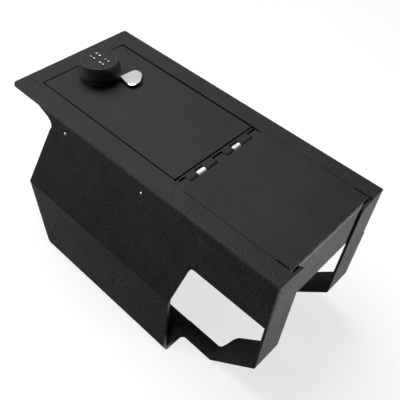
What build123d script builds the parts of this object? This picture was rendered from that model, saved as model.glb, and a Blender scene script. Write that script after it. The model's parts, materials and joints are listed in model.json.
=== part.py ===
from build123d import *
import os
from math import cos, pi, radians, sin, tan

os.makedirs("parts", exist_ok=True)

# Console safe: a folded sheet steel box with a hinged door in its top deck, a keypad knob
# lock with two side bolts, and a pair of rear legs that carry the overhanging deck.
# Millimetres, +Z up, +Y towards the lock end, origin under the middle on the floor plane.

# Sheet and envelope
sheet = 2.7
bend_radius = 3.4
deck_top = 188.0
body_rear = -177.0
deck_front = 171.0
panel_nose = 177.0
apex_y = 112.8
apex_z = 163.3
rail_half_width = 78.0
base_half_width = 107.0
fold_height = 39.0
flange_inner = 61.0
weld_gap = 0.1

# Deck and door opening
deck_half_width = 58.4
seam_gap = 0.5
rail_inner = 58.5
deck_underside = deck_top - sheet
door_half_opening = 55.0
opening_front = 151.0
opening_rear = -39.8
door_clearance = 1.5
hinge_side_clearance = 2.4
strip_gap = 1.8
comb_edge = -45.5
notch_edge = -51.9
deck_rear_face = -174.1
deck_flange_bottom = 134.6
deck_flange_half = 52.0

# Rear legs and straps
leg_inner = 43.0
leg_foot_height = 54.0
leg_top_height = 186.5
strap_inner = 60.5
strap_fold = -126.5
base_rear = -86.6
base_front = 104.0
window_top = 125.5

# Compartment
floor_underside = 48.0
rear_wall_face = -55.0
wall_half_width = rail_half_width - sheet - weld_gap
pocket_floor = 163.0
pocket_front = 154.0
pocket_half_width = 58.8
pocket_rear = 109.5

# Hinges
pin_y = -47.8
pin_z = 184.4
pin_radius = 1.5
pin_running_gap = 0.06
tab_barrel_radius = 3.6
knuckle_radius = 3.5
strip_rear = -43.2
strip_front = -21.0
strip_half_width = 52.0
leaf_thickness = 2.0
leaf_top = deck_underside - 0.1
hinge_spans = {"left": (-44.5, -9.0), "right": (4.5, 41.5)}
knuckle_spans = {"left": (-32.9, -22.8), "right": (16.0, 26.2)}
knuckle_side_gap = 0.4

# Lock
lock_x = -4.9
lock_y = 119.5
post_radius = 4.0
shaft_radius = 6.0
shaft_bore = 4.35
shaft_bottom = 178.95
knob_bottom = 193.9
lever_hub_top = 193.0
lever_hub_radius = 17.4
knob_top = deck_top + 23.2
knob_foot_radius = 20.6
knob_waist = 197.6
knob_lower_radius = 22.4
knob_upper_radius = 19.9
cam_radius = 25.0
cam_bottom = 179.8
cam_thickness = 2.5
cam_start_radius = 10.0
cam_pitch = 7.0
cam_turn = pi / 2
bolt_top = 178.6
bolt_thickness = 4.0
bolt_width = 12.0
bolt_reach = 52.5
bolt_pin_radius = 1.9
slot_half_width = 2.25
sliding_gap = 0.4
bolt_slot_clearance = 1.5
base_plate_rear = 71.0
base_plate_front = 148.0
base_plate_half_width = 48.0
base_plate_bottom = leaf_top - leaf_thickness
lever_angle = -50.6
button_radius = 1.6
button_columns = (-3.8, 3.8)
button_rows = (7.9, 3.1, -6.3, -10.9)
keypad_thickness = 2.0

# Fasteners
rivet_radius = 1.6
rivet_head_radius = 3.0
rivet_places = ((85.7, 173.7), (-23.0, 173.7))
base_screw_places = (115.6, 9.1)
mount_hole_radius = 3.5
mount_hole_x = 84.0
mount_hole_y = (68.0, -52.0)


def box_between(low, high):
    """A plain block from its low corner to its high corner, in the active builder."""
    size = [b - a for a, b in zip(low, high)]
    middle = [(a + b) / 2 for a, b in zip(low, high)]
    with Locations(tuple(middle)):
        Box(*size)


def cut_between(low, high):
    """Cuts a block from the active builder."""
    size = [b - a for a, b in zip(low, high)]
    middle = [(a + b) / 2 for a, b in zip(low, high)]
    with Locations(tuple(middle)):
        Box(*size, mode=Mode.SUBTRACT)


def save(builder, name):
    """Labels a finished piece and writes its file."""
    builder.part.label = name
    export_step(builder.part, "parts/" + name + ".step")


# ---------------------------------------------------------------- side panels
# One folded sheet each: top rail, upright face, flared skirt and bottom flange, with a
# strap that runs back from the flange, climbs as a ramp and meets the rear leg.

flare_slope = (base_half_width - rail_half_width) / fold_height


def side_outline():
    """The side view of the sheet in Y and Z, without its strap and leg."""
    window_corner = (-87.3, window_top)
    waist_corner = (-63.0, fold_height)
    with BuildSketch() as outline:
        with BuildLine():
            Polyline(
                (body_rear, deck_top + 1),
                (deck_front, deck_top + 1),
                (deck_front, deck_underside),
                (127.0, deck_underside),
                (114.5, 179.5),
            )
            ThreePointArc((114.5, 179.5), (109.3, 171.5), (apex_y, apex_z))
            Polyline(
                (apex_y, apex_z),
                (panel_nose, fold_height + 1),
                (panel_nose, fold_height),
                (base_front, 0),
                (base_front, -1),
                (base_rear, -1),
                (base_rear, 0),
                waist_corner,
                window_corner,
                (body_rear, window_top),
                (body_rear, deck_top + 1),
            )
        make_face()
        for corner, radius in ((window_corner, 8.0), (waist_corner, 10.0)):
            fillet(outline.vertices().sort_by_distance((*corner, 0))[0], radius=radius)
    return outline.sketch


def cut_round_corner(x, y, radius, bottom, height):
    """Rounds an upright outside corner of the left panel at (x, y)."""
    turn = 1 if y > 0 else -1
    with BuildSketch(Plane.XY.offset(bottom)) as corner:
        with Locations((x, y)):
            Rectangle(2 * radius, 2 * radius)
        with Locations((x + radius, y - turn * radius)):
            Circle(radius, mode=Mode.SUBTRACT)
    extrude(corner.sketch, amount=height, mode=Mode.SUBTRACT)


def make_side_panel(name):
    """The left side panel, built at its real place."""
    outline = side_outline()
    with BuildPart() as panel:
        with BuildSketch(Plane.XZ.offset(-panel_nose)):
            with BuildLine() as fold_line:
                FilletPolyline(
                    (-rail_inner, deck_top),
                    (-rail_half_width, deck_top),
                    (-rail_half_width, fold_height),
                    (-base_half_width, 0),
                    (-flange_inner, 0),
                    radius=bend_radius,
                )
                offset(amount=sheet, side=Side.LEFT)
            make_face()
        extrude(amount=panel_nose - body_rear)
        with BuildSketch(Plane.YZ.offset(-base_half_width - 1)):
            add(outline)
        extrude(amount=base_half_width, mode=Mode.INTERSECT)
        cut_round_corner(-rail_half_width, deck_front, 5.0, deck_underside - 1, sheet + 2)
        cut_round_corner(-rail_half_width, body_rear, bend_radius, window_top - 1, 70.0)
    with BuildPart() as leg:
        with BuildSketch(Plane.YZ.offset(-rail_half_width)):
            with BuildLine():
                FilletPolyline(
                    (base_rear + 6, 0),
                    (strap_fold, 0),
                    (body_rear, leg_foot_height),
                    (body_rear, leg_top_height),
                    radius=bend_radius,
                )
                offset(amount=sheet, side=Side.RIGHT)
            make_face()
        extrude(amount=rail_half_width - leg_inner)
        # inner edge of the strap, with its S-shaped widening onto the ramp
        with BuildSketch(Plane.XY.offset(-1)):
            with BuildLine():
                Polyline((-leg_inner + 1, -136.0), (-leg_inner, -136.0))
                Spline(
                    (-leg_inner, -136.0),
                    (-52.0, -129.5),
                    (-strap_inner, -123.0),
                    tangents=((-0.2, 1.0), (-0.2, 1.0)),
                )
                Polyline(
                    (-strap_inner, -123.0),
                    (-strap_inner, base_rear + 7),
                    (-leg_inner + 1, base_rear + 7),
                    (-leg_inner + 1, -136.0),
                )
            make_face()
        extrude(amount=40.0, mode=Mode.SUBTRACT)
        with BuildSketch(Plane.XZ.offset(-body_rear - 5)):
            with Locations((-leg_inner, leg_top_height)):
                Rectangle(16.0, 16.0)
            with Locations((-leg_inner - 8.0, leg_top_height - 8.0)):
                Circle(8.0, mode=Mode.SUBTRACT)
        extrude(amount=10.0, mode=Mode.SUBTRACT)
        cut_round_corner(-rail_half_width, body_rear, bend_radius, window_top - 1, 70.0)
    with BuildPart() as whole:
        add(panel.part)
        add(leg.part)
        # rounded inside corner where the strap leaves the flange
        with BuildSketch(Plane.XY):
            with Locations((-rail_half_width - 2.0, base_rear - 2.0)):
                Rectangle(6.0, 6.0)
            with Locations((-rail_half_width - 5.0, base_rear - 5.0)):
                Circle(5.0, mode=Mode.SUBTRACT)
        extrude(amount=sheet)
        with BuildSketch(Plane.YZ.offset(-rail_half_width - 1)):
            with Locations(*rivet_places):
                Circle(rivet_radius + 0.1)
        extrude(amount=sheet + 2, mode=Mode.SUBTRACT)
        with BuildSketch(Plane.XY.offset(-1)):
            with Locations(*[(-mount_hole_x, y) for y in mount_hole_y]):
                Circle(mount_hole_radius)
        extrude(amount=sheet + 2, mode=Mode.SUBTRACT)
    if name == "side_panel_right":
        with BuildPart() as right_panel:
            add(whole.part.mirror(Plane.YZ))
        save(right_panel, name)
    else:
        save(whole, name)


make_side_panel("side_panel_left")
make_side_panel("side_panel_right")


# ---------------------------------------------------------------- deck
# Flat plate between the rails, bent down at the rear, with the door opening, the comb
# that the hinges fill, and relief slots beside the bend.

def make_deck():
    with BuildPart() as deck:
        with BuildSketch(Plane.YZ.offset(-deck_half_width)):
            with BuildLine():
                FilletPolyline(
                    (deck_front, deck_top),
                    (deck_rear_face, deck_top),
                    (deck_rear_face, deck_flange_bottom),
                    radius=bend_radius,
                )
                offset(amount=sheet, side=Side.LEFT)
            make_face()
        extrude(amount=2 * deck_half_width)
        for side in (-1, 1):
            inner, outer = sorted((side * deck_flange_half, side * (deck_half_width + 1)))
            cut_between((inner, -176.0, 130.0), (outer, -168.0, deck_underside - 1.5))
            slot_inner, slot_outer = sorted((side * 48.4, side * 56.0))
            cut_between((slot_inner, -175.0, 180.0), (slot_outer, -172.6, 190.0))
            mark_inner, mark_outer = sorted((side * 56.9, side * 59.0))
            cut_between((mark_inner, -170.0, 180.0), (mark_outer, -158.0, 190.0))
        cut_between(
            (-door_half_opening, opening_rear, 180.0), (door_half_opening, opening_front, 190.0)
        )
        cut_between((-52.6, comb_edge, 180.0), (52.6, opening_rear + 1, 190.0))
        cut_between((52.0, comb_edge, 180.0), (door_half_opening, opening_rear + 1, 190.0))
        cut_between((-door_half_opening, opening_rear - 2.2, 180.0), (-52.0, opening_rear + 1, 190.0))
        # open seams beside the rear deck and at the front left corner
        for side in (-1, 1):
            low, high = sorted((side * (deck_half_width - seam_gap + 0.1), side * 60.0))
            cut_between((low, -180.0, 180.0), (high, notch_edge, 190.0))
        cut_between((-60.0, opening_front, 180.0), (0.3 - deck_half_width, 180.0, 190.0))
        cut_between((52.9, notch_edge + 0.4, 180.0), (door_half_opening, comb_edge + 1, 190.0))
        for low, high in hinge_spans.values():
            cut_between((low - 0.6, notch_edge, 180.0), (high + 0.6, comb_edge + 1, 190.0))
    save(deck, "deck_plate")


make_deck()


# ---------------------------------------------------------------- compartment

front_edge_run = panel_nose - apex_y
front_edge_drop = apex_z - (fold_height + 1)


def front_wall_y(height):
    """Front wall's outer face, one millimetre inside the panels' slanted edge."""
    return apex_y - 1 + (apex_z - height) * front_edge_run / front_edge_drop


def make_compartment():
    with BuildPart() as floor:
        box_between(
            (-wall_half_width, rear_wall_face + sheet + weld_gap, floor_underside),
            (wall_half_width, front_wall_y(floor_underside) - 2 * sheet, floor_underside + sheet),
        )
    save(floor, "compartment_floor")

    with BuildPart() as rear_wall:
        box_between(
            (-wall_half_width, rear_wall_face, floor_underside),
            (wall_half_width, rear_wall_face + sheet, deck_underside - sheet - 0.8),
        )
        for side in (-1, 1):
            low, high = sorted((side * (wall_half_width - sheet - weld_gap), side * wall_half_width))
            cut_between((low, rear_wall_face, 164.9), (high, rear_wall_face + sheet, deck_top))
    save(rear_wall, "compartment_rear_wall")

    with BuildPart() as front_wall:
        top = pocket_floor - weld_gap
        wall_depth = sheet * (front_edge_run**2 + front_edge_drop**2) ** 0.5 / front_edge_drop
        with BuildSketch(Plane.YZ.offset(-wall_half_width)):
            with BuildLine():
                Polyline(
                    (front_wall_y(top), top),
                    (front_wall_y(floor_underside), floor_underside),
                    (front_wall_y(floor_underside) - wall_depth, floor_underside),
                    (front_wall_y(top) - wall_depth, top),
                    close=True,
                )
            make_face()
        extrude(amount=2 * wall_half_width)
    save(front_wall, "compartment_front_wall")


def make_lock_pocket():
    """Shallow tray under the front of the door, with slots that the bolts enter."""
    with BuildPart() as pocket:
        box_between(
            (-pocket_half_width, pocket_rear, pocket_floor),
            (pocket_half_width, pocket_front, pocket_floor + sheet),
        )
        box_between(
            (-pocket_half_width, pocket_front - sheet, pocket_floor),
            (pocket_half_width, pocket_front, deck_underside - weld_gap),
        )
        for side in (-1, 1):
            inner, outer = sorted((side * (pocket_half_width - sheet), side * pocket_half_width))
            box_between(
                (inner, pocket_rear, pocket_floor),
                (outer, pocket_front, deck_underside - weld_gap),
            )
            cut_between(
                (
                    inner - 1,
                    lock_y - bolt_width / 2 - bolt_slot_clearance,
                    bolt_top - bolt_thickness - bolt_slot_clearance,
                ),
                (
                    outer + 1,
                    lock_y + bolt_width / 2 + bolt_slot_clearance,
                    bolt_top + bolt_slot_clearance,
                ),
            )
    save(pocket, "lock_pocket")


def make_side_rails():
    """Angles inside the panels that carry the deck's edges and the door's long edges."""
    rail_front = pocket_rear - 2.5
    rail_rear = deck_rear_face + 2 * sheet
    for name, side in (("side_rail_left", -1), ("side_rail_right", 1)):
        with BuildPart() as rail:
            inner, outer = sorted((side * 52.8, side * wall_half_width))
            box_between(
                (inner, rail_rear, deck_underside - 0.4 - sheet),
                (outer, rail_front, deck_underside - 0.4),
            )
            # the flange stands back beside the door, so the gap round the door is open
            gap_low, gap_high = sorted((side * 50.0, side * 56.0))
            cut_between((gap_low, comb_edge, 180.0), (gap_high, rail_front + 1, deck_top))
            leg_low, leg_high = sorted((side * (wall_half_width - sheet), side * wall_half_width))
            box_between((leg_low, rail_rear, 165.0), (leg_high, rail_front, deck_underside - 0.4))
            long_edges = rail.edges().filter_by(Axis.Y).group_by(Axis.Z)[-1]
            chamfer(long_edges.sort_by(Axis.X)[0 if side < 0 else -1], length=1.2)
            with BuildSketch(Plane.YZ.offset(leg_low - 1)):
                with Locations(*rivet_places):
                    Circle(rivet_radius + 0.1)
            extrude(amount=sheet + 2, mode=Mode.SUBTRACT)
        save(rail, name)


make_compartment()
make_lock_pocket()
make_side_rails()


# ---------------------------------------------------------------- fasteners of the shell

def make_side_rivets():
    """Domed rivets through each panel and rail, with a crushed tail inside."""
    with BuildPart() as rivets:
        for side in (-1, 1):
            for y, z in rivet_places:
                outward = Plane(
                    origin=(side * rail_half_width, y, z), x_dir=(0, 1, 0), z_dir=(side, 0, 0)
                )
                with BuildSketch(outward):
                    Circle(rivet_head_radius)
                extrude(amount=1.3, taper=35)
                with BuildSketch(outward):
                    Circle(rivet_radius)
                extrude(amount=-(2 * sheet + 1.2))
                with BuildSketch(outward.offset(-(2 * sheet + 0.2))):
                    Circle(rivet_head_radius - 0.5)
                extrude(amount=-1.4)
    save(rivets, "side_rivets")


def skirt_plane(side, y, height):
    """Plane on the flared skirt's outer face, facing outwards."""
    x = rail_half_width + (fold_height - height) * flare_slope
    normal = Vector(side * 1.0, 0, flare_slope)
    return Plane(origin=(side * x, y, height), x_dir=(0, 1, 0), z_dir=normal)


def make_base_screws():
    """Low button-head screws on the skirts."""
    with BuildPart() as screws:
        for side in (-1, 1):
            for y in base_screw_places:
                face = skirt_plane(side, y, 19.0)
                with BuildSketch(face):
                    Circle(2.6)
                extrude(amount=1.0, taper=20)
                with BuildSketch(face.offset(1.0)):
                    RegularPolygon(radius=1.2, side_count=6)
                extrude(amount=-0.7, mode=Mode.SUBTRACT)
    save(screws, "base_screws")


make_side_rivets()
make_base_screws()


# ---------------------------------------------------------------- hinges

def hinge_plane(x):
    """Plane across the hinge axis, its own x along +Y and its own y along +Z."""
    return Plane(origin=(x, pin_y, pin_z), x_dir=(0, 1, 0), z_dir=(1, 0, 0))


def make_deck_leaves():
    """Bright leaf under the deck with one knuckle that shows in its notch."""
    for name, (knuckle_low, knuckle_high) in knuckle_spans.items():
        low, high = hinge_spans[name]
        with BuildPart() as leaf:
            with BuildSketch(hinge_plane(knuckle_low)):
                Circle(knuckle_radius)
            extrude(amount=knuckle_high - knuckle_low)
            box_between(
                (knuckle_low, pin_y - 9.0, leaf_top - leaf_thickness),
                (knuckle_high, pin_y, leaf_top),
            )
            box_between(
                (low, pin_y - 27.0, leaf_top - leaf_thickness), (high, pin_y - 5.2, leaf_top)
            )
            with BuildSketch(hinge_plane(knuckle_low - 1)):
                Circle(pin_radius)
            extrude(amount=knuckle_high - knuckle_low + 2, mode=Mode.SUBTRACT)
        save(leaf, "deck_hinge_leaf_" + name)


def make_hinge_pins():
    """Pins pressed into the bright knuckles, free to turn in the door's barrels."""
    for name, (low, high) in hinge_spans.items():
        with BuildPart() as pin:
            with BuildSketch(hinge_plane(low + 0.2)):
                Circle(pin_radius)
            extrude(amount=high - low - 0.4)
            chamfer(pin.edges().filter_by(GeomType.CIRCLE), length=0.3)
        save(pin, "hinge_pin_" + name)


def make_door_leaf():
    """Painted strip behind the door, lapped under it, with four barrels for the pins."""
    with BuildPart() as leaf:
        box_between((-strip_half_width, strip_rear, leaf_top - leaf_thickness), (strip_half_width, strip_front, leaf_top))
        box_between(
            (-strip_half_width, strip_rear, leaf_top - 0.5),
            (strip_half_width, opening_rear + 0.1 - strip_gap, deck_top),
        )
        for name, (low, high) in hinge_spans.items():
            knuckle_low, knuckle_high = knuckle_spans[name]
            tabs = (
                (low, knuckle_low - knuckle_side_gap),
                (knuckle_high + knuckle_side_gap, high),
            )
            for tab_low, tab_high in tabs:
                with BuildSketch(hinge_plane(tab_low)):
                    Circle(tab_barrel_radius)
                extrude(amount=tab_high - tab_low)
                box_between((tab_low, pin_y, leaf_top), (tab_high, strip_rear + 0.5, deck_top))
                box_between(
                    (tab_low, pin_y, leaf_top - leaf_thickness), (tab_high, strip_rear, leaf_top)
                )
        with BuildSketch(hinge_plane(-60.0)):
            Circle(pin_radius + pin_running_gap)
        extrude(amount=120.0, mode=Mode.SUBTRACT)
    save(leaf, "door_hinge_leaf")


make_deck_leaves()
make_hinge_pins()
make_door_leaf()


# ---------------------------------------------------------------- door

door_half_width = door_half_opening - door_clearance
door_rear = opening_rear + 0.1
door_front = opening_front - door_clearance


def make_door():
    with BuildPart() as door:
        box_between(
            (-door_half_width, door_rear, deck_underside),
            (door_half_opening - hinge_side_clearance, door_front, deck_top),
        )
        fillet(door.edges().filter_by(Axis.Z), radius=1.2)
        with BuildSketch(Plane.XY.offset(deck_underside - 1)):
            with Locations((lock_x, lock_y)):
                Circle(shaft_radius + 0.6)
        extrude(amount=sheet + 2, mode=Mode.SUBTRACT)
    save(door, "door_panel")

    # hat-shaped stiffener along the middle of the door
    with BuildPart() as stiffener:
        with BuildSketch(Plane.XZ.offset(-65.0)):
            with BuildLine():
                Polyline(
                    (-46.0, leaf_top),
                    (-28.0, leaf_top),
                    (-24.0, leaf_top - 8.0),
                    (24.0, leaf_top - 8.0),
                    (28.0, leaf_top),
                    (46.0, leaf_top),
                )
                offset(amount=1.5, side=Side.RIGHT)
            make_face()
        extrude(amount=82.0)
    save(stiffener, "door_stiffener")

    with BuildPart() as rivets:
        for x in (-45.0, -16.0, 16.0, 45.0):
            with BuildSketch(Plane.XY.offset(leaf_top - leaf_thickness).rotated((180, 0, 0))):
                with Locations((x, 30.0)):
                    Circle(2.4)
            extrude(amount=1.1, taper=30)
    save(rivets, "door_leaf_rivets")


def make_bumpers():
    """Rubber pads on the pocket's front wall, just under the door's front corners."""
    with BuildPart() as bumpers:
        with BuildSketch(Plane.XY.offset(pocket_floor + sheet)):
            with Locations((-51.4, 142.0), (51.4, 142.0)):
                Circle(2.2)
        extrude(amount=deck_underside - 0.45 - pocket_floor - sheet)
    save(bumpers, "door_bumpers")


make_door()
make_bumpers()


# ---------------------------------------------------------------- lock, door side

def lock_plane(height):
    """Plane over the lock's axis at a height."""
    return Plane(origin=(lock_x, lock_y, height))


cover_wall = 1.5
cover_bottom = 168.6
bolt_bottom = bolt_top - bolt_thickness
guide_inner = 34.0
guide_outer = 46.0


def make_lock_base():
    with BuildPart() as base:
        box_between(
            (-base_plate_half_width, base_plate_rear, base_plate_bottom),
            (base_plate_half_width, base_plate_front, leaf_top),
        )
        fillet(base.edges().filter_by(Axis.Z), radius=4.0)
        with BuildSketch(Plane.XY.offset(base_plate_bottom - 1)):
            with Locations((lock_x, lock_y)):
                Circle(shaft_radius + 0.06)
        extrude(amount=leaf_thickness + 2, mode=Mode.SUBTRACT)
    save(base, "lock_base_plate")


def make_guides():
    for name, side in (("bolt_guide_left", -1), ("bolt_guide_right", 1)):
        low, high = sorted((side * guide_inner, side * guide_outer))
        with BuildPart() as guide:
            box_between(
                (low, lock_y - bolt_width / 2 - 4, bolt_bottom - 2.5),
                (high, lock_y + bolt_width / 2 + 4, base_plate_bottom),
            )
            cut_between(
                (low - 1, lock_y - bolt_width / 2 - sliding_gap, bolt_bottom - sliding_gap),
                (high + 1, lock_y + bolt_width / 2 + sliding_gap, bolt_top + sliding_gap),
            )
        save(guide, name)


def make_lock_cover():
    """Folded cover under the mechanism, open at the top and slotted for the bolts."""
    with BuildPart() as cover:
        box_between(
            (-base_plate_half_width, base_plate_rear, cover_bottom),
            (base_plate_half_width, base_plate_front, base_plate_bottom),
        )
        fillet(cover.edges().filter_by(Axis.Z), radius=4.0)
        top = cover.faces().sort_by(Axis.Z)[-1]
        offset(amount=-cover_wall, openings=top)
        for side in (-1, 1):
            low, high = sorted((side * 45.0, side * 49.0))
            cut_between(
                (low, lock_y - bolt_width / 2 - 0.6, bolt_bottom - 0.6),
                (high, lock_y + bolt_width / 2 + 0.6, bolt_top + 0.6),
            )
        with BuildSketch(Plane.XY.offset(cover_bottom - 1)):
            with Locations((lock_x, lock_y)):
                Circle(2.6)
        extrude(amount=cover_wall + 2, mode=Mode.SUBTRACT)
    save(cover, "lock_cover")

    with BuildPart() as screw:
        with BuildSketch(lock_plane(cover_bottom)):
            Circle(4.2)
        extrude(amount=-1.2, taper=25)
        with BuildSketch(lock_plane(cover_bottom)):
            Circle(2.5)
        extrude(amount=8.0)
        with BuildSketch(lock_plane(cover_bottom - 1.2)):
            RegularPolygon(radius=1.4, side_count=6)
        extrude(amount=0.9, mode=Mode.SUBTRACT)
    save(screw, "cover_screw")


solenoid_front = 90.5
plunger_z = cam_bottom + cam_thickness / 2
plunger_radius = 1.1


def make_solenoid():
    with BuildPart() as coil:
        box_between(
            (lock_x - 6.0, solenoid_front - 17.0, 175.5),
            (lock_x + 6.0, solenoid_front, base_plate_bottom),
        )
        fillet(coil.edges().filter_by(Axis.Y), radius=1.5)
        with BuildSketch(Plane.XZ.offset(-solenoid_front - 1)):
            with Locations((lock_x, plunger_z)):
                Circle(plunger_radius + 0.35)
        extrude(amount=12.0, mode=Mode.SUBTRACT)
    save(coil, "blocking_solenoid")

    with BuildPart() as plunger:
        with BuildSketch(Plane.XZ.offset(-solenoid_front - 3.2)):
            with Locations((lock_x, plunger_z)):
                Circle(plunger_radius)
        extrude(amount=11.0)
        chamfer(plunger.edges().filter_by(GeomType.CIRCLE), length=0.3)
    save(plunger, "blocking_plunger")


make_lock_base()
make_guides()
make_lock_cover()
make_solenoid()


# ---------------------------------------------------------------- bolts and cam

def make_bolts():
    """Flat bars with a round pin that rides in the cam's spiral slot."""
    for name, side in (("bolt_left", -1), ("bolt_right", 1)):
        pin_x = lock_x + side * cam_start_radius
        low, high = sorted((pin_x - side * 2.4, side * bolt_reach))
        with BuildPart() as bolt:
            box_between(
                (low, lock_y - bolt_width / 2, bolt_bottom),
                (high, lock_y + bolt_width / 2, bolt_top),
            )
            tip = bolt.edges().filter_by(Axis.Z).sort_by(Axis.X)
            fillet(tip[-2:] if side > 0 else tip[:2], radius=1.5)
            with BuildSketch(Plane.XY.offset(bolt_top)):
                with Locations((pin_x, lock_y)):
                    Circle(bolt_pin_radius)
            extrude(amount=cam_bottom + cam_thickness - 0.2 - bolt_top)
        save(bolt, name)


def spiral_slot(start_angle):
    """Constant-width slot whose radius grows evenly with the angle turned."""
    margin = 0.05
    steps = 14
    left = []
    right = []
    for step in range(steps + 1):
        turn = -margin + (cam_turn + 2 * margin) * step / steps
        radius = cam_start_radius + cam_pitch * turn
        angle = start_angle + turn
        along = Vector(
            cam_pitch * cos(angle) - radius * sin(angle),
            cam_pitch * sin(angle) + radius * cos(angle),
        ).normalized()
        across = Vector(-along.Y, along.X) * slot_half_width
        centre = Vector(radius * cos(angle), radius * sin(angle))
        left.append(centre + across)
        right.append(centre - across)
        if step == 0:
            start_cap = centre - along * slot_half_width
        if step == steps:
            end_cap = centre + along * slot_half_width
    with BuildSketch() as slot:
        with BuildLine():
            Spline(*left)
            ThreePointArc(left[-1], end_cap, right[-1])
            Spline(*right[::-1])
            ThreePointArc(right[0], start_cap, left[0])
        make_face()
    return slot.sketch


def make_cam():
    slots = [spiral_slot(start) for start in (0, pi)]
    with BuildPart() as cam:
        with BuildSketch(Plane.XY.offset(cam_bottom)):
            with Locations((lock_x, lock_y)):
                Circle(cam_radius)
                Circle(shaft_radius, mode=Mode.SUBTRACT)
        extrude(amount=cam_thickness)
        for slot in slots:
            with BuildSketch(Plane(origin=(lock_x, lock_y, cam_bottom - 1))):
                add(slot)
            extrude(amount=cam_thickness + 2, mode=Mode.SUBTRACT)
        cut_between(
            (lock_x - 2.0, lock_y - cam_radius - 1, cam_bottom - 1),
            (lock_x + 2.0, lock_y - cam_radius + 3.4, cam_bottom + cam_thickness + 1),
        )
    save(cam, "bolt_cam")

    with BuildPart() as shaft:
        with BuildSketch(lock_plane(shaft_bottom)):
            Circle(shaft_radius)
            Circle(shaft_bore, mode=Mode.SUBTRACT)
        extrude(amount=lever_hub_top - shaft_bottom)
    save(shaft, "lever_shaft")


make_bolts()
make_cam()


# ---------------------------------------------------------------- knob and lever

def make_lever():
    """Chrome thumb lever: a hub under the knob, a narrow neck and an upswept paddle."""
    across = Plane(origin=(lock_x, lock_y, deck_top), x_dir=(1, 0, 0), z_dir=(0, 0, 1))
    lever_frame = across.rotated((0, 0, lever_angle))
    profile_plane = Plane(
        origin=lever_frame.origin, x_dir=lever_frame.x_dir, z_dir=-lever_frame.y_dir
    ).offset(-16.0)
    with BuildPart() as lever:
        with BuildSketch(profile_plane):
            with BuildLine():
                Line((0, 0.8), (19.0, 0.8))
                Spline((19.0, 0.8), (30.0, 2.2), (44.6, 3.6), tangents=((1, 0), (1, 0.08)))
                Line((44.6, 3.6), (44.6, 5.8))
                Spline((44.6, 5.8), (30.0, 4.4), (19.0, 3.2), tangents=((-1, -0.08), (-1, 0)))
                Line((19.0, 3.2), (0, 3.2))
                Line((0, 3.2), (0, 0.8))
            make_face()
        extrude(amount=32.0)
        with BuildSketch(lever_frame):
            with BuildLine():
                Polyline((0, -4.0), (0, 4.0), (19.0, 2.4))
                Spline(
                    (19.0, 2.4), (24.0, 4.6), (30.0, 11.6), (36.0, 13.8), (41.5, 9.6), (43.8, 0.0),
                    tangents=((1, 0), (0, -1)),
                )
                Spline(
                    (43.8, 0.0), (41.5, -9.6), (36.0, -13.8), (30.0, -11.6), (24.0, -4.6),
                    (19.0, -2.4), tangents=((0, -1), (-1, 0)),
                )
                Line((19.0, -2.4), (0, -4.0))
            make_face()
        extrude(amount=20.0, mode=Mode.INTERSECT)
        with BuildSketch(lock_plane(deck_top + 0.6)):
            Circle(lever_hub_radius)
        extrude(amount=lever_hub_top - deck_top - 0.6)
        with BuildSketch(lock_plane(deck_top)):
            Circle(shaft_radius)
        extrude(amount=10.0, mode=Mode.SUBTRACT)
        hub_rim = lever.edges().filter_by(GeomType.CIRCLE).sort_by(Axis.Z)[-2:]
        fillet(hub_rim.sort_by(SortBy.RADIUS)[-1], radius=1.0)
    save(lever, "thumb_lever")


def make_knob():
    """Tapered knob: base disc, hollow housing and keypad face."""
    base_thickness = 3.0
    wall = 2.2
    face_radius = knob_upper_radius - wall
    face_bottom = knob_top - keypad_thickness
    with BuildPart() as base:
        with BuildSketch(lock_plane(knob_bottom)):
            Circle(knob_foot_radius - wall - 0.6)
            Circle(post_radius, mode=Mode.SUBTRACT)
        extrude(amount=base_thickness)
    save(base, "knob_base")

    with BuildPart() as post:
        with BuildSketch(lock_plane(cover_bottom + cover_wall)):
            Circle(post_radius)
            Circle(2.5, mode=Mode.SUBTRACT)
        extrude(amount=knob_bottom + base_thickness - cover_bottom - cover_wall)
    save(post, "knob_post")

    with BuildPart() as housing:
        with BuildSketch(lock_plane(knob_bottom)):
            Circle(knob_foot_radius)
        with BuildSketch(lock_plane(knob_waist)):
            Circle(knob_lower_radius)
        with BuildSketch(lock_plane(knob_top)):
            Circle(knob_upper_radius)
        loft(ruled=True)
        fillet(housing.edges().filter_by(GeomType.CIRCLE).sort_by(Axis.Z)[1], radius=4.0)
        fillet(housing.edges().filter_by(GeomType.CIRCLE).sort_by(Axis.Z)[-1], radius=0.9)
        fillet(housing.edges().filter_by(GeomType.CIRCLE).sort_by(Axis.Z)[0], radius=0.5)
        with BuildSketch(lock_plane(knob_bottom - 1)):
            Circle(knob_foot_radius - wall)
        with BuildSketch(lock_plane(face_bottom)):
            Circle(face_radius - 1.2)
        loft(mode=Mode.SUBTRACT)
        with BuildSketch(lock_plane(face_bottom)):
            Circle(face_radius)
        extrude(amount=keypad_thickness + 1, mode=Mode.SUBTRACT)
    save(housing, "knob_housing")

    with BuildPart() as keypad:
        with BuildSketch(lock_plane(face_bottom)):
            Circle(face_radius - 0.05)
            with Locations(*[(x, y) for x in button_columns for y in button_rows]):
                Circle(button_radius + 0.35, mode=Mode.SUBTRACT)
        extrude(amount=keypad_thickness)
    save(keypad, "keypad_face")

    with BuildPart() as mat:
        with BuildSketch(lock_plane(face_bottom - 3.2)):
            Circle(face_radius - 1.6)
        extrude(amount=0.8)
    save(mat, "keypad_mat")

    with BuildPart() as board:
        with BuildSketch(lock_plane(face_bottom - 4.9)):
            Circle(face_radius - 1.6)
        extrude(amount=1.6)
    save(board, "keypad_board")

    with BuildPart() as battery:
        with BuildSketch(lock_plane(knob_bottom + base_thickness + 1.2)):
            Circle(12.2)
        extrude(amount=5.0)
        fillet(battery.edges().filter_by(GeomType.CIRCLE), radius=0.5)
    save(battery, "coin_battery")


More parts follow.
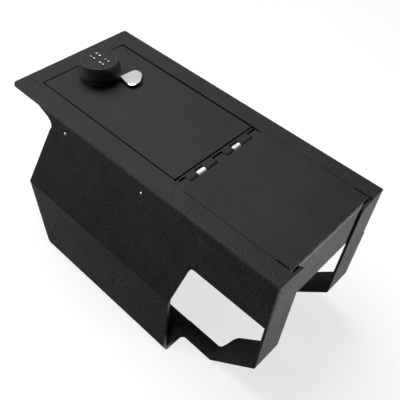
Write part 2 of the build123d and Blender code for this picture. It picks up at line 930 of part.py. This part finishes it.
def make_buttons():
    """Eight round keys with a retaining flange under the keypad face."""
    face_bottom = knob_top - keypad_thickness
    number = 0
    for y in button_rows:
        for x in button_columns:
            number += 1
            with BuildPart() as button:
                with BuildSketch(lock_plane(face_bottom - 1.3)):
                    with Locations((x, y)):
                        Circle(button_radius + 0.4)
                extrude(amount=1.0)
                with BuildSketch(lock_plane(face_bottom - 0.3)):
                    with Locations((x, y)):
                        Circle(button_radius)
                extrude(amount=keypad_thickness + 1.0)
                fillet(button.edges().sort_by(Axis.Z)[-1], radius=0.4)
            save(button, "button_" + str(number))


make_lever()
make_knob()
make_buttons()
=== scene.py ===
import json
import math

import bmesh
import bpy
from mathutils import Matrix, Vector


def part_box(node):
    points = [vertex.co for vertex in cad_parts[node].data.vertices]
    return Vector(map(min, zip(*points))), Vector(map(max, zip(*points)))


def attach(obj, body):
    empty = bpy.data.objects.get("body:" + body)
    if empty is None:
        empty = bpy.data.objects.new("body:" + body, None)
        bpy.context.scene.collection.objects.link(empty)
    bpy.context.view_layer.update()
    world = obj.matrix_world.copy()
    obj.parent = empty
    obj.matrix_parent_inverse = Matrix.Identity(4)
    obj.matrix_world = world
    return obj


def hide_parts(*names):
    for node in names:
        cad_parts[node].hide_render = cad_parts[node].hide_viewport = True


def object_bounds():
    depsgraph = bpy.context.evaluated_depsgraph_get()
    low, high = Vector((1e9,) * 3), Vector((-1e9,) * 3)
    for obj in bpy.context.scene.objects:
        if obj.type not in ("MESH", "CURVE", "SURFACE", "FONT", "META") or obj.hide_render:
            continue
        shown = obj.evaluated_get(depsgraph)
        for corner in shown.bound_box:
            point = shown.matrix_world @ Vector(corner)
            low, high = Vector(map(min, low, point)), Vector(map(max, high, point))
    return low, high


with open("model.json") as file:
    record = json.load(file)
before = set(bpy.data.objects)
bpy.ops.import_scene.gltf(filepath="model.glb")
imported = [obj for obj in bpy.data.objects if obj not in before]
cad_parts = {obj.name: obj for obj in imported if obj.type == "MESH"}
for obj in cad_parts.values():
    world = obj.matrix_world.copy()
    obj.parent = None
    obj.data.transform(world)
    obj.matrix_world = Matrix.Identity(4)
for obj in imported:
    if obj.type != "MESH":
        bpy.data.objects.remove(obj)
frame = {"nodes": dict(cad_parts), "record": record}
cadBounds = [list(corner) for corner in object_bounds()]
nodes = frame["nodes"]
mm = 0.001
print("frame loaded:", len(nodes), "nodes")


def deselectAll():
    if bpy.context.object and bpy.context.object.mode != "OBJECT":
        bpy.ops.object.mode_set(mode="OBJECT")
    bpy.ops.object.select_all(action="DESELECT")


def onlySelect(piece):
    deselectAll()
    piece.select_set(True)
    bpy.context.view_layer.objects.active = piece


def settle(piece, name):
    # place goes into the mesh, the object stays at the origin
    onlySelect(piece)
    bpy.ops.object.transform_apply(location=True, rotation=True, scale=True)
    piece.name = name
    piece.data.name = name
    return piece


def pickFaces(piece, test):
    # faces whose middle and normal pass the test are left selected, in edit mode
    onlySelect(piece)
    bpy.ops.object.mode_set(mode="EDIT")
    bpy.ops.mesh.select_mode(type="FACE")
    bpy.ops.mesh.select_all(action="DESELECT")
    edit = bmesh.from_edit_mesh(piece.data)
    for face in edit.faces:
        face.select_set(test(face.calc_center_median(), face.normal))
    edit.select_flush_mode()
    bmesh.update_edit_mesh(piece.data)


def pickEdges(piece, test):
    onlySelect(piece)
    bpy.ops.object.mode_set(mode="EDIT")
    bpy.ops.mesh.select_mode(type="EDGE")
    bpy.ops.mesh.select_all(action="DESELECT")
    edit = bmesh.from_edit_mesh(piece.data)
    for edge in edit.edges:
        edge.select_set(test(edge.verts[0].co, edge.verts[1].co))
    bmesh.update_edit_mesh(piece.data)


def pointOutward(piece):
    # a bevel needs its faces to agree first
    onlySelect(piece)
    bpy.ops.object.mode_set(mode="EDIT")
    bpy.ops.mesh.select_all(action="SELECT")
    bpy.ops.mesh.normals_make_consistent(inside=False)
    bpy.ops.object.mode_set(mode="OBJECT")


def finishMesh(piece, angle=35.0):
    onlySelect(piece)
    bpy.ops.object.mode_set(mode="EDIT")
    bpy.ops.mesh.select_all(action="SELECT")
    bpy.ops.mesh.remove_doubles(threshold=0.000005)
    bpy.ops.mesh.normals_make_consistent(inside=False)
    bpy.ops.object.mode_set(mode="OBJECT")
    bpy.ops.object.shade_smooth_by_angle(angle=math.radians(angle))


def addModifier(piece, kind, **settings):
    onlySelect(piece)
    modifier = piece.modifiers.new(kind.title(), kind)
    for key, value in settings.items():
        setattr(modifier, key, value)
    bpy.ops.object.modifier_apply(modifier=modifier.name)


def joinPieces(pieces, name):
    deselectAll()
    for piece in pieces:
        piece.select_set(True)
    bpy.context.view_layer.objects.active = pieces[0]
    bpy.ops.object.join()
    return settle(bpy.context.object, name)


cameraSetup = {
    "place": (-0.3118, -0.2754, 0.5451),
    "turn": (42.333, -3.821, -46.539),
    "lens": 50.63,
    "shift": (0.0144, -0.0009),
}
bpy.ops.object.camera_add(
    location=cameraSetup["place"],
    rotation=[math.radians(angle) for angle in cameraSetup["turn"]],
)
camera = bpy.context.object
camera.data.sensor_width = 36.0
camera.data.lens = cameraSetup["lens"]
camera.data.shift_x, camera.data.shift_y = cameraSetup["shift"]
camera.data.clip_start = 0.01
bpy.context.scene.camera = camera
print("camera placed")


class Wire:
    # one output socket, which plain maths can be done on

    def __init__(self, tree, socket=None):
        self.tree = tree
        self.socket = socket

    def make(self, kind, settings=None, inputs=None, out=0):
        node = self.tree.nodes.new(kind)
        for key, value in (settings or {}).items():
            setattr(node, key, value)
        for key, value in (inputs or {}).items():
            if isinstance(value, Wire):
                self.tree.links.new(value.socket, node.inputs[key])
            else:
                node.inputs[key].default_value = value
        return Wire(self.tree, node.outputs[out])

    def maths(self, operation, first, second):
        return self.make("ShaderNodeMath", {"operation": operation}, {0: first, 1: second})

    def __add__(self, other):
        return self.maths("ADD", self, other)

    def __radd__(self, other):
        return self.maths("ADD", other, self)

    def __mul__(self, other):
        return self.maths("MULTIPLY", self, other)

    def __rmul__(self, other):
        return self.maths("MULTIPLY", other, self)

    def blend(self, low, high):
        # colour between low and high by this factor
        return self.make(
            "ShaderNodeMix", {"data_type": "RGBA"}, {0: self, 6: low, 7: high}, out=2
        )

    def spread(self, low, high):
        # stretches a narrow band of values to 0..1
        return self.make(
            "ShaderNodeMapRange", {"clamp": True}, {"Value": self, 1: low, 2: high}
        )


def startMaterial(name):
    material = bpy.data.materials.new(name)
    material.use_nodes = True
    tree = material.node_tree
    shader = tree.nodes["Principled BSDF"]
    start = Wire(tree)
    place = start.make("ShaderNodeTexCoord", out=3)
    return material, shader, place


def plug(shader, **values):
    names = {
        "colour": "Base Color", "roughness": "Roughness", "metallic": "Metallic",
        "normal": "Normal", "specular": "Specular IOR Level",
        "glow": "Emission Strength", "glowColour": "Emission Color",
    }
    for key, value in values.items():
        socket = shader.inputs[names[key]]
        if isinstance(value, Wire):
            value.tree.links.new(value.socket, socket)
        else:
            socket.default_value = value


def noiseAt(place, scale, detail=2.0, rough=0.5, distortion=0.0):
    return place.make(
        "ShaderNodeTexNoise", None,
        {"Vector": place, "Scale": scale, "Detail": detail, "Roughness": rough,
         "Distortion": distortion},
    )


def stretched(place, scale):
    return place.make(
        "ShaderNodeMapping", None, {"Vector": place, "Scale": scale}
    )


def bumpFrom(height, distance):
    return height.make(
        "ShaderNodeBump", None, {"Height": height, "Distance": distance, "Strength": 1.0}
    )


def grey(level):
    return (level, level, level, 1.0)


coatLook = {
    "dark": (0.0040, 0.0040, 0.0042, 1.0),
    "light": (0.0250, 0.0250, 0.0255, 1.0),
    "pebble": 480.0,  # pebbles per metre, so they are about 2 mm across
    "fine": 1500.0,
    "patch": 22.0,  # slow drift in tone over a few centimetres
    "depth": 0.00095,
    "roughness": 0.5,
    "specular": 0.25,
}


def powderCoat(name, look):
    material, shader, place = startMaterial(name)
    pebble = noiseAt(place, look["pebble"], 3.0, 0.62)
    fine = noiseAt(place, look["fine"], 2.0, 0.5)
    patch = noiseAt(place, look["patch"], 2.0, 0.5).spread(0.3, 0.7)
    grain = pebble.spread(0.36, 0.64)
    speck = fine.spread(0.38, 0.62)
    tone = grain * 0.5 + speck * 0.25 + patch * 0.25
    height = pebble * 0.75 + fine * 0.25
    plug(
        shader,
        colour=tone.blend(look["dark"], look["light"]),
        roughness=look["roughness"] + 0.18 * grain,
        normal=bumpFrom(height, look["depth"]),
        specular=look["specular"],
    )
    return material


zincLook = {
    "dull": grey(0.62),
    "bright": grey(0.88),
    "cell": 260.0,  # crystals per metre
    "scratch": (40.0, 900.0, 900.0),  # long along X, the way the leaf was rolled
    "roughness": 0.5,
    "depth": 0.00003,
}


def platedZinc(name, look):
    material, shader, place = startMaterial(name)
    cells = place.make(
        "ShaderNodeTexVoronoi", {"feature": "F1"}, {"Vector": place, "Scale": look["cell"]}
    )
    scratch = noiseAt(stretched(place, look["scratch"]), 1.0, 3.0, 0.6)
    tone = cells * 0.6 + scratch * 0.4
    plug(
        shader,
        colour=tone.blend(look["dull"], look["bright"]),
        roughness=look["roughness"] + 0.2 * scratch,
        metallic=1.0,
        normal=bumpFrom(scratch, look["depth"]),
    )
    return material


steelLook = {
    "dull": grey(0.6),
    "bright": grey(0.86),
    "scratch": (900.0, 60.0, 900.0),
    "stain": 300.0,
    "roughness": 0.36,
    "depth": 0.00002,
}


def turnedSteel(name, look):
    material, shader, place = startMaterial(name)
    scratch = noiseAt(stretched(place, look["scratch"]), 1.0, 3.0, 0.6)
    stain = noiseAt(place, look["stain"], 3.0, 0.55).spread(0.35, 0.75)
    plug(
        shader,
        colour=(scratch * 0.5 + stain * 0.5).blend(look["dull"], look["bright"]),
        roughness=look["roughness"] + 0.2 * scratch,
        metallic=1.0,
        normal=bumpFrom(scratch, look["depth"]),
    )
    return material


chromeLook = {
    "tint": (0.80, 0.80, 0.79, 1.0),
    "clean": (0.93, 0.93, 0.92, 1.0),
    "smudge": 90.0,
    "hair": (1500.0, 140.0, 400.0),
    "roughness": 0.1,
    "depth": 0.000008,
}


def polishedChrome(name, look):
    material, shader, place = startMaterial(name)
    smudge = noiseAt(place, look["smudge"], 3.0, 0.6, 0.6).spread(0.4, 0.75)
    hair = noiseAt(stretched(place, look["hair"]), 1.0, 2.0, 0.5)
    plug(
        shader,
        colour=smudge.blend(look["clean"], look["tint"]),
        roughness=look["roughness"] + 0.12 * smudge + 0.05 * hair,
        metallic=1.0,
        normal=bumpFrom(hair, look["depth"]),
    )
    return material


knobLook = {
    "dark": grey(0.014), "light": grey(0.026), "grain": 1900.0,
    "roughness": 0.42, "depth": 0.00004, "specular": 0.22,
}
keypadLook = {
    "dark": grey(0.004), "light": grey(0.009), "grain": 1500.0,
    "roughness": 0.5, "depth": 0.00005, "specular": 0.3,
}
keyLook = {
    "dark": grey(0.014), "light": grey(0.026), "grain": 1900.0,
    "roughness": 0.35, "depth": 0.00002, "specular": 0.5,
}
rubberLook = {
    "dark": grey(0.012), "light": grey(0.026), "grain": 1300.0,
    "roughness": 0.75, "depth": 0.00008, "specular": 0.5,
}
oxideLook = {
    "dark": grey(0.010), "light": grey(0.030), "grain": 1700.0,
    "roughness": 0.4, "depth": 0.00004, "specular": 0.5,
}
coilLook = {
    "dark": (0.05, 0.022, 0.008, 1.0), "light": (0.16, 0.07, 0.025, 1.0), "grain": 800.0,
    "roughness": 0.3, "depth": 0.00003, "specular": 0.5,
}
boardLook = {
    "dark": (0.004, 0.05, 0.016, 1.0), "light": (0.012, 0.12, 0.045, 1.0), "grain": 900.0,
    "roughness": 0.35, "depth": 0.00003, "specular": 0.5,
}
digitLook = {
    "dark": grey(0.72), "light": grey(0.88), "grain": 2500.0,
    "roughness": 0.45, "depth": 0.00001, "specular": 0.5,
}
mouldedDrift = 70.0  # slow change in tone, the same on every moulded part


def mouldedPlastic(name, look):
    material, shader, place = startMaterial(name)
    grain = noiseAt(place, look["grain"], 2.0, 0.5)
    wide = noiseAt(place, mouldedDrift, 2.0, 0.5).spread(0.3, 0.7)
    plug(
        shader,
        colour=(grain.spread(0.3, 0.7) * 0.5 + wide * 0.5).blend(look["dark"], look["light"]),
        roughness=look["roughness"] + 0.12 * wide,
        normal=bumpFrom(grain, look["depth"]),
        specular=look["specular"],
    )
    return material


finishes = {
    "powder_coat": powderCoat("powderCoat", coatLook),
    "zinc_plate": platedZinc("zincPlate", zincLook),
    "bright_steel": turnedSteel("brightSteel", steelLook),
    "chrome": polishedChrome("polishedChrome", chromeLook),
    "knob_plastic": mouldedPlastic("knobPlastic", knobLook),
    "keypad_plastic": mouldedPlastic("keypadPlastic", keypadLook),
    "key_plastic": mouldedPlastic("keyPlastic", keyLook),
    "rubber": mouldedPlastic("rubberPad", rubberLook),
    "black_oxide": mouldedPlastic("blackOxide", oxideLook),
    "coil_plastic": mouldedPlastic("coilVarnish", coilLook),
    "circuit_board": mouldedPlastic("circuitBoard", boardLook),
}
digitPaint = mouldedPlastic("digitPaint", digitLook)

slotOf = {part["node"]: part["material_slot"] for part in frame["record"]["subparts"]}
for nodeName, node in nodes.items():
    node.data.materials.clear()
    node.data.materials.append(finishes[slotOf[nodeName]])
print("finishes on", len(nodes), "nodes")


def finish(piece, slot, body, replaced=(), material=None):
    piece.data.materials.clear()
    piece.data.materials.append(material or finishes[slot])
    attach(piece, body)
    if replaced:
        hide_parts(*replaced)


keyCap = {
    "sides": 32,
    "sideGap": 0.0004,
    "topGap": 0.00005,
    "dish": 0.00018,
    "inset": 0.00045,
    "round": 0.00022,
    "lip": 0.00035,  # the foot stands out this far round the stem
    "foot": 0.0008,
}
digit = {"height": 0.0036, "bold": 0.00016, "lift": 0.00004, "thick": 0.00003}


def makeKeyCap():
    # modelled once at the first key, then copied to the others
    low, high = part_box("button_1")
    stem = (high.x - low.x) / 2 - keyCap["sideGap"]
    footScale = (stem + keyCap["lip"]) / stem
    bpy.ops.mesh.primitive_cylinder_add(
        vertices=keyCap["sides"], radius=stem, depth=high.z - low.z - keyCap["topGap"],
        location=(
            (low.x + high.x) / 2,
            (low.y + high.y) / 2,
            (low.z + high.z) / 2 - keyCap["topGap"] / 2,
        ),
    )
    cap = settle(bpy.context.object, "keyCap_1")
    pickFaces(cap, lambda middle, normal: normal.z > 0.9)
    bpy.ops.mesh.inset(thickness=keyCap["inset"])
    bpy.ops.transform.translate(value=(0, 0, -keyCap["dish"]))
    pickFaces(cap, lambda middle, normal: normal.z < -0.9)
    bpy.ops.mesh.extrude_region_move(TRANSFORM_OT_translate={"value": (0, 0, 0)})
    bpy.ops.transform.resize(value=(footScale, footScale, 1))
    bpy.ops.mesh.extrude_region_move(TRANSFORM_OT_translate={"value": (0, 0, keyCap["foot"])})
    pointOutward(cap)
    addModifier(cap, "BEVEL", width=keyCap["round"], segments=3, limit_method="ANGLE")
    finishMesh(cap)
    return cap


def boxMiddle(node):
    low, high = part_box(node)
    return (low + high) / 2


def makeDigit(number, cap):
    top = max(corner.co.z for corner in cap.data.vertices)
    middle = boxMiddle("button_%d" % number)
    bpy.ops.object.text_add(location=(middle.x, middle.y, top - keyCap["dish"] + digit["lift"]))
    label = bpy.context.object
    label.data.body = str(number)
    label.data.size = digit["height"]
    label.data.align_x = "CENTER"
    label.data.align_y = "CENTER"
    label.data.offset = digit["bold"]
    label.data.extrude = digit["thick"]
    onlySelect(label)
    bpy.ops.object.convert(target="MESH")
    return settle(bpy.context.object, "digit_%d" % number)


firstCap = makeKeyCap()
firstMiddle = boxMiddle("button_1")
for number in range(1, 9):
    if number == 1:
        cap = firstCap
    else:
        onlySelect(firstCap)
        bpy.ops.object.duplicate()
        cap = bpy.context.object
        cap.location = boxMiddle("button_%d" % number) - firstMiddle
        cap = settle(cap, "keyCap_%d" % number)
    label = makeDigit(number, cap)
    finish(cap, "key_plastic", "key_%d" % number, ["button_%d" % number])
    finish(label, "key_plastic", "key_%d" % number, material=digitPaint)
print("keys made")


lever = {
    "angle": -50.6,
    # distance out, half width, height above the deck in mm, from the neck to the tip
    "stations": [
        (14.0, 3.6, 2.2), (18.5, 2.4, 2.2), (21.0, 2.2, 2.3), (24.0, 5.2, 2.5), (27.5, 9.4, 2.8),
        (31.0, 13.2, 3.1), (35.5, 15.0, 3.4), (40.0, 13.2, 3.7), (44.2, 7.4, 4.0),
    ],
    "thick": 0.0018,
    "edgeReach": 0.0001,
    "dishStart": 0.025,  # distance out at which the dish begins
    "dishRun": 0.012,
    "dishHalfWidth": 0.013,
    "dishLift": 0.0004,
    "hubRadius": 0.017,
    "hubRim": 0.0022,
    "hubGroove": 0.0012,
    "hubDrop": 0.0007,
    "hubRound": 0.0006,
}


def makePaddle():
    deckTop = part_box("door_panel")[1].z
    hub = boxMiddle("bolt_cam")
    first = lever["stations"][0]
    bpy.ops.mesh.primitive_plane_add(size=1.0, location=(0, 0, 0))
    paddle = bpy.context.object
    paddle.scale = (2 * mm, 2 * first[1] * mm, 1)
    paddle.location = ((first[0] - 1) * mm, 0, first[2] * mm)
    settle(paddle, "leverPaddle")
    before = first
    for station in lever["stations"][1:]:
        edge = before[0] * mm - lever["edgeReach"]
        pickEdges(paddle, lambda a, b: a.x > edge and b.x > edge)
        bpy.ops.mesh.extrude_region_move(
            TRANSFORM_OT_translate={
                "value": ((station[0] - before[0]) * mm, 0, (station[2] - before[2]) * mm)
            }
        )
        bpy.ops.transform.resize(value=(1, station[1] / before[1], 1))
        before = station
    onlySelect(paddle)
    bpy.ops.object.mode_set(mode="EDIT")
    bpy.ops.mesh.select_all(action="SELECT")
    bpy.ops.mesh.subdivide(number_cuts=1)
    bpy.ops.object.mode_set(mode="OBJECT")
    for corner in paddle.data.vertices:
        # the paddle is dished along its middle
        reach = min(max((corner.co.x - lever["dishStart"]) / lever["dishRun"], 0.0), 1.0)
        across = corner.co.y / lever["dishHalfWidth"]
        corner.co.z += reach * across ** 2 * lever["dishLift"]
    addModifier(paddle, "SOLIDIFY", thickness=lever["thick"], offset=0.0)
    addModifier(paddle, "SUBSURF", levels=2, render_levels=2)
    paddle.rotation_euler = (0, 0, math.radians(lever["angle"]))
    paddle.location = (hub.x, hub.y, deckTop)
    settle(paddle, "leverPaddle")
    finishMesh(paddle, 50.0)
    return paddle


def makeHub():
    hub = boxMiddle("bolt_cam")
    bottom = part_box("thumb_lever")[0].z
    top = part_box("lever_shaft")[1].z
    bpy.ops.mesh.primitive_cylinder_add(
        vertices=96, radius=lever["hubRadius"], depth=top - bottom,
        location=(hub.x, hub.y, (bottom + top) / 2),
    )
    disc = settle(bpy.context.object, "leverHub")
    pickFaces(disc, lambda middle, normal: normal.z > 0.9)
    bpy.ops.mesh.inset(thickness=lever["hubRim"])
    bpy.ops.transform.translate(value=(0, 0, -lever["hubDrop"]))
    bpy.ops.mesh.inset(thickness=lever["hubGroove"])
    bpy.ops.transform.translate(value=(0, 0, lever["hubDrop"]))
    addModifier(disc, "BEVEL", width=lever["hubRound"], segments=4, limit_method="ANGLE")
    finishMesh(disc)
    return disc


paddle = makePaddle()
hubDisc = makeHub()
finish(paddle, "chrome", "lever", ["thumb_lever"])
finish(hubDisc, "chrome", "lever")
print("lever made")


rivet = {
    "radius": 0.0021,
    "height": 0.0011,
    "shankInset": 0.0006,
    "shank": 0.0062,
    "tailScale": 1.5,
    "tail": 0.0012,
    "round": 0.0002,
    "sheet": 2.8,
    "places": [(85.7, 173.7), (-23.0, 173.7)],  # along Y and up, in mm
}


def makeRivet(side, y, z):
    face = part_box("side_rail_left")[0].x - rivet["sheet"] * mm
    bpy.ops.mesh.primitive_uv_sphere_add(
        segments=40, ring_count=20, radius=rivet["radius"], location=(0, 0, 0)
    )
    dome = settle(bpy.context.object, "rivet")
    bpy.ops.object.mode_set(mode="EDIT")
    bpy.ops.mesh.select_all(action="SELECT")
    bpy.ops.mesh.bisect(plane_co=(0, 0, 0), plane_no=(0, 0, 1), clear_inner=True, use_fill=True)
    bpy.ops.object.mode_set(mode="OBJECT")
    dome.scale = (1, 1, rivet["height"] / rivet["radius"])
    settle(dome, "rivet")
    pickFaces(dome, lambda middle, normal: normal.z < -0.9)
    bpy.ops.mesh.inset(thickness=rivet["shankInset"])
    bpy.ops.mesh.extrude_region_move(TRANSFORM_OT_translate={"value": (0, 0, -rivet["shank"])})
    bpy.ops.mesh.extrude_region_move(TRANSFORM_OT_translate={"value": (0, 0, 0)})
    bpy.ops.transform.resize(value=(rivet["tailScale"], rivet["tailScale"], 1))
    bpy.ops.mesh.extrude_region_move(TRANSFORM_OT_translate={"value": (0, 0, -rivet["tail"])})
    bpy.ops.object.mode_set(mode="OBJECT")
    dome.rotation_euler = (0, math.radians(90.0 * side), 0)
    dome.location = (side * abs(face), y * mm, z * mm)
    settle(dome, "rivet")
    pointOutward(dome)
    addModifier(dome, "BEVEL", width=rivet["round"], segments=2, limit_method="ANGLE")
    return dome


rivets = [makeRivet(side, y, z) for side in (-1, 1) for y, z in rivet["places"]]
rivetHeads = joinPieces(rivets, "rivetHeads")
finishMesh(rivetHeads)
finish(rivetHeads, "bright_steel", "shell", ["side_rivets"])
print("rivets made")


stage = {
    "floor": 6.0,
    "floorGap": 0.0004,
    "glow": 0.7,
    "tint": 0.3,
    "wallRadius": 2.9,
    "wallHeight": 5.0,
    "wallSink": 0.01,
    "wallGlow": 0.9,
    "ambient": 0.05,
}
white = (1.0, 1.0, 1.0, 1.0)
bpy.ops.mesh.primitive_plane_add(
    size=stage["floor"], location=(0, 0, cadBounds[0][2] - stage["floorGap"])
)
floor = settle(bpy.context.object, "floor")
floorPaint, floorShader, _ = startMaterial("floorPaint")
plug(
    floorShader,
    colour=grey(stage["tint"]),
    roughness=0.9,
    specular=0.1,
    glow=stage["glow"],
    glowColour=white,
)
floor.data.materials.append(floorPaint)
floor.visible_glossy = False  # gloss sees the dim studio, so upright faces stay dark

# a pale wall far round the object, seen only directly, so it throws no light
bpy.ops.mesh.primitive_cylinder_add(
    vertices=96, radius=stage["wallRadius"], depth=stage["wallHeight"], end_fill_type="NOTHING",
    location=(0, 0, stage["wallHeight"] / 2 - stage["wallSink"]),
)
wall = settle(bpy.context.object, "wall")
wallPaint, wallShader, _ = startMaterial("wallPaint")
plug(wallShader, colour=grey(0.0), specular=0.0, glow=stage["wallGlow"], glowColour=white)
wall.data.materials.append(wallPaint)
wall.visible_diffuse = False
wall.visible_glossy = False
wall.visible_shadow = False

world = bpy.data.worlds.new("studio")
world.use_nodes = True
studio = world.node_tree.nodes["Background"].inputs
studio["Color"].default_value = white
studio["Strength"].default_value = stage["ambient"]
bpy.context.scene.world = world
bpy.context.scene.view_settings.view_transform = "Standard"

lamps = [
    # name, place, aim, width, height, power
    ("topPanel", (0.0, 0.45, 1.35), (0.0, 0.0, 0.15), 0.9, 0.9, 19.5),
    ("leftPanel", (-0.6, 0.8, 0.3), (-0.1, 0.1, 0.08), 0.35, 0.35, 4.6),
    ("farPanel", (0.85, 0.72, 1.35), (0.0, 0.1, 0.19), 1.7, 1.7, 5.5),
    ("rearPanel", (0.42, -1.35, 0.05), (-0.05, -0.17, 0.13), 0.35, 0.09, 52.0),
]
for name, place, aim, width, height, power in lamps:
    direction = Vector(aim) - Vector(place)
    bpy.ops.object.light_add(
        type="AREA", location=place, rotation=direction.to_track_quat("-Z", "Y").to_euler()
    )
    lamp = bpy.context.object
    lamp.name = name
    lamp.data.shape = "RECTANGLE"
    lamp.data.size = width
    lamp.data.size_y = height
    lamp.data.energy = power
print("stage and lamps set")
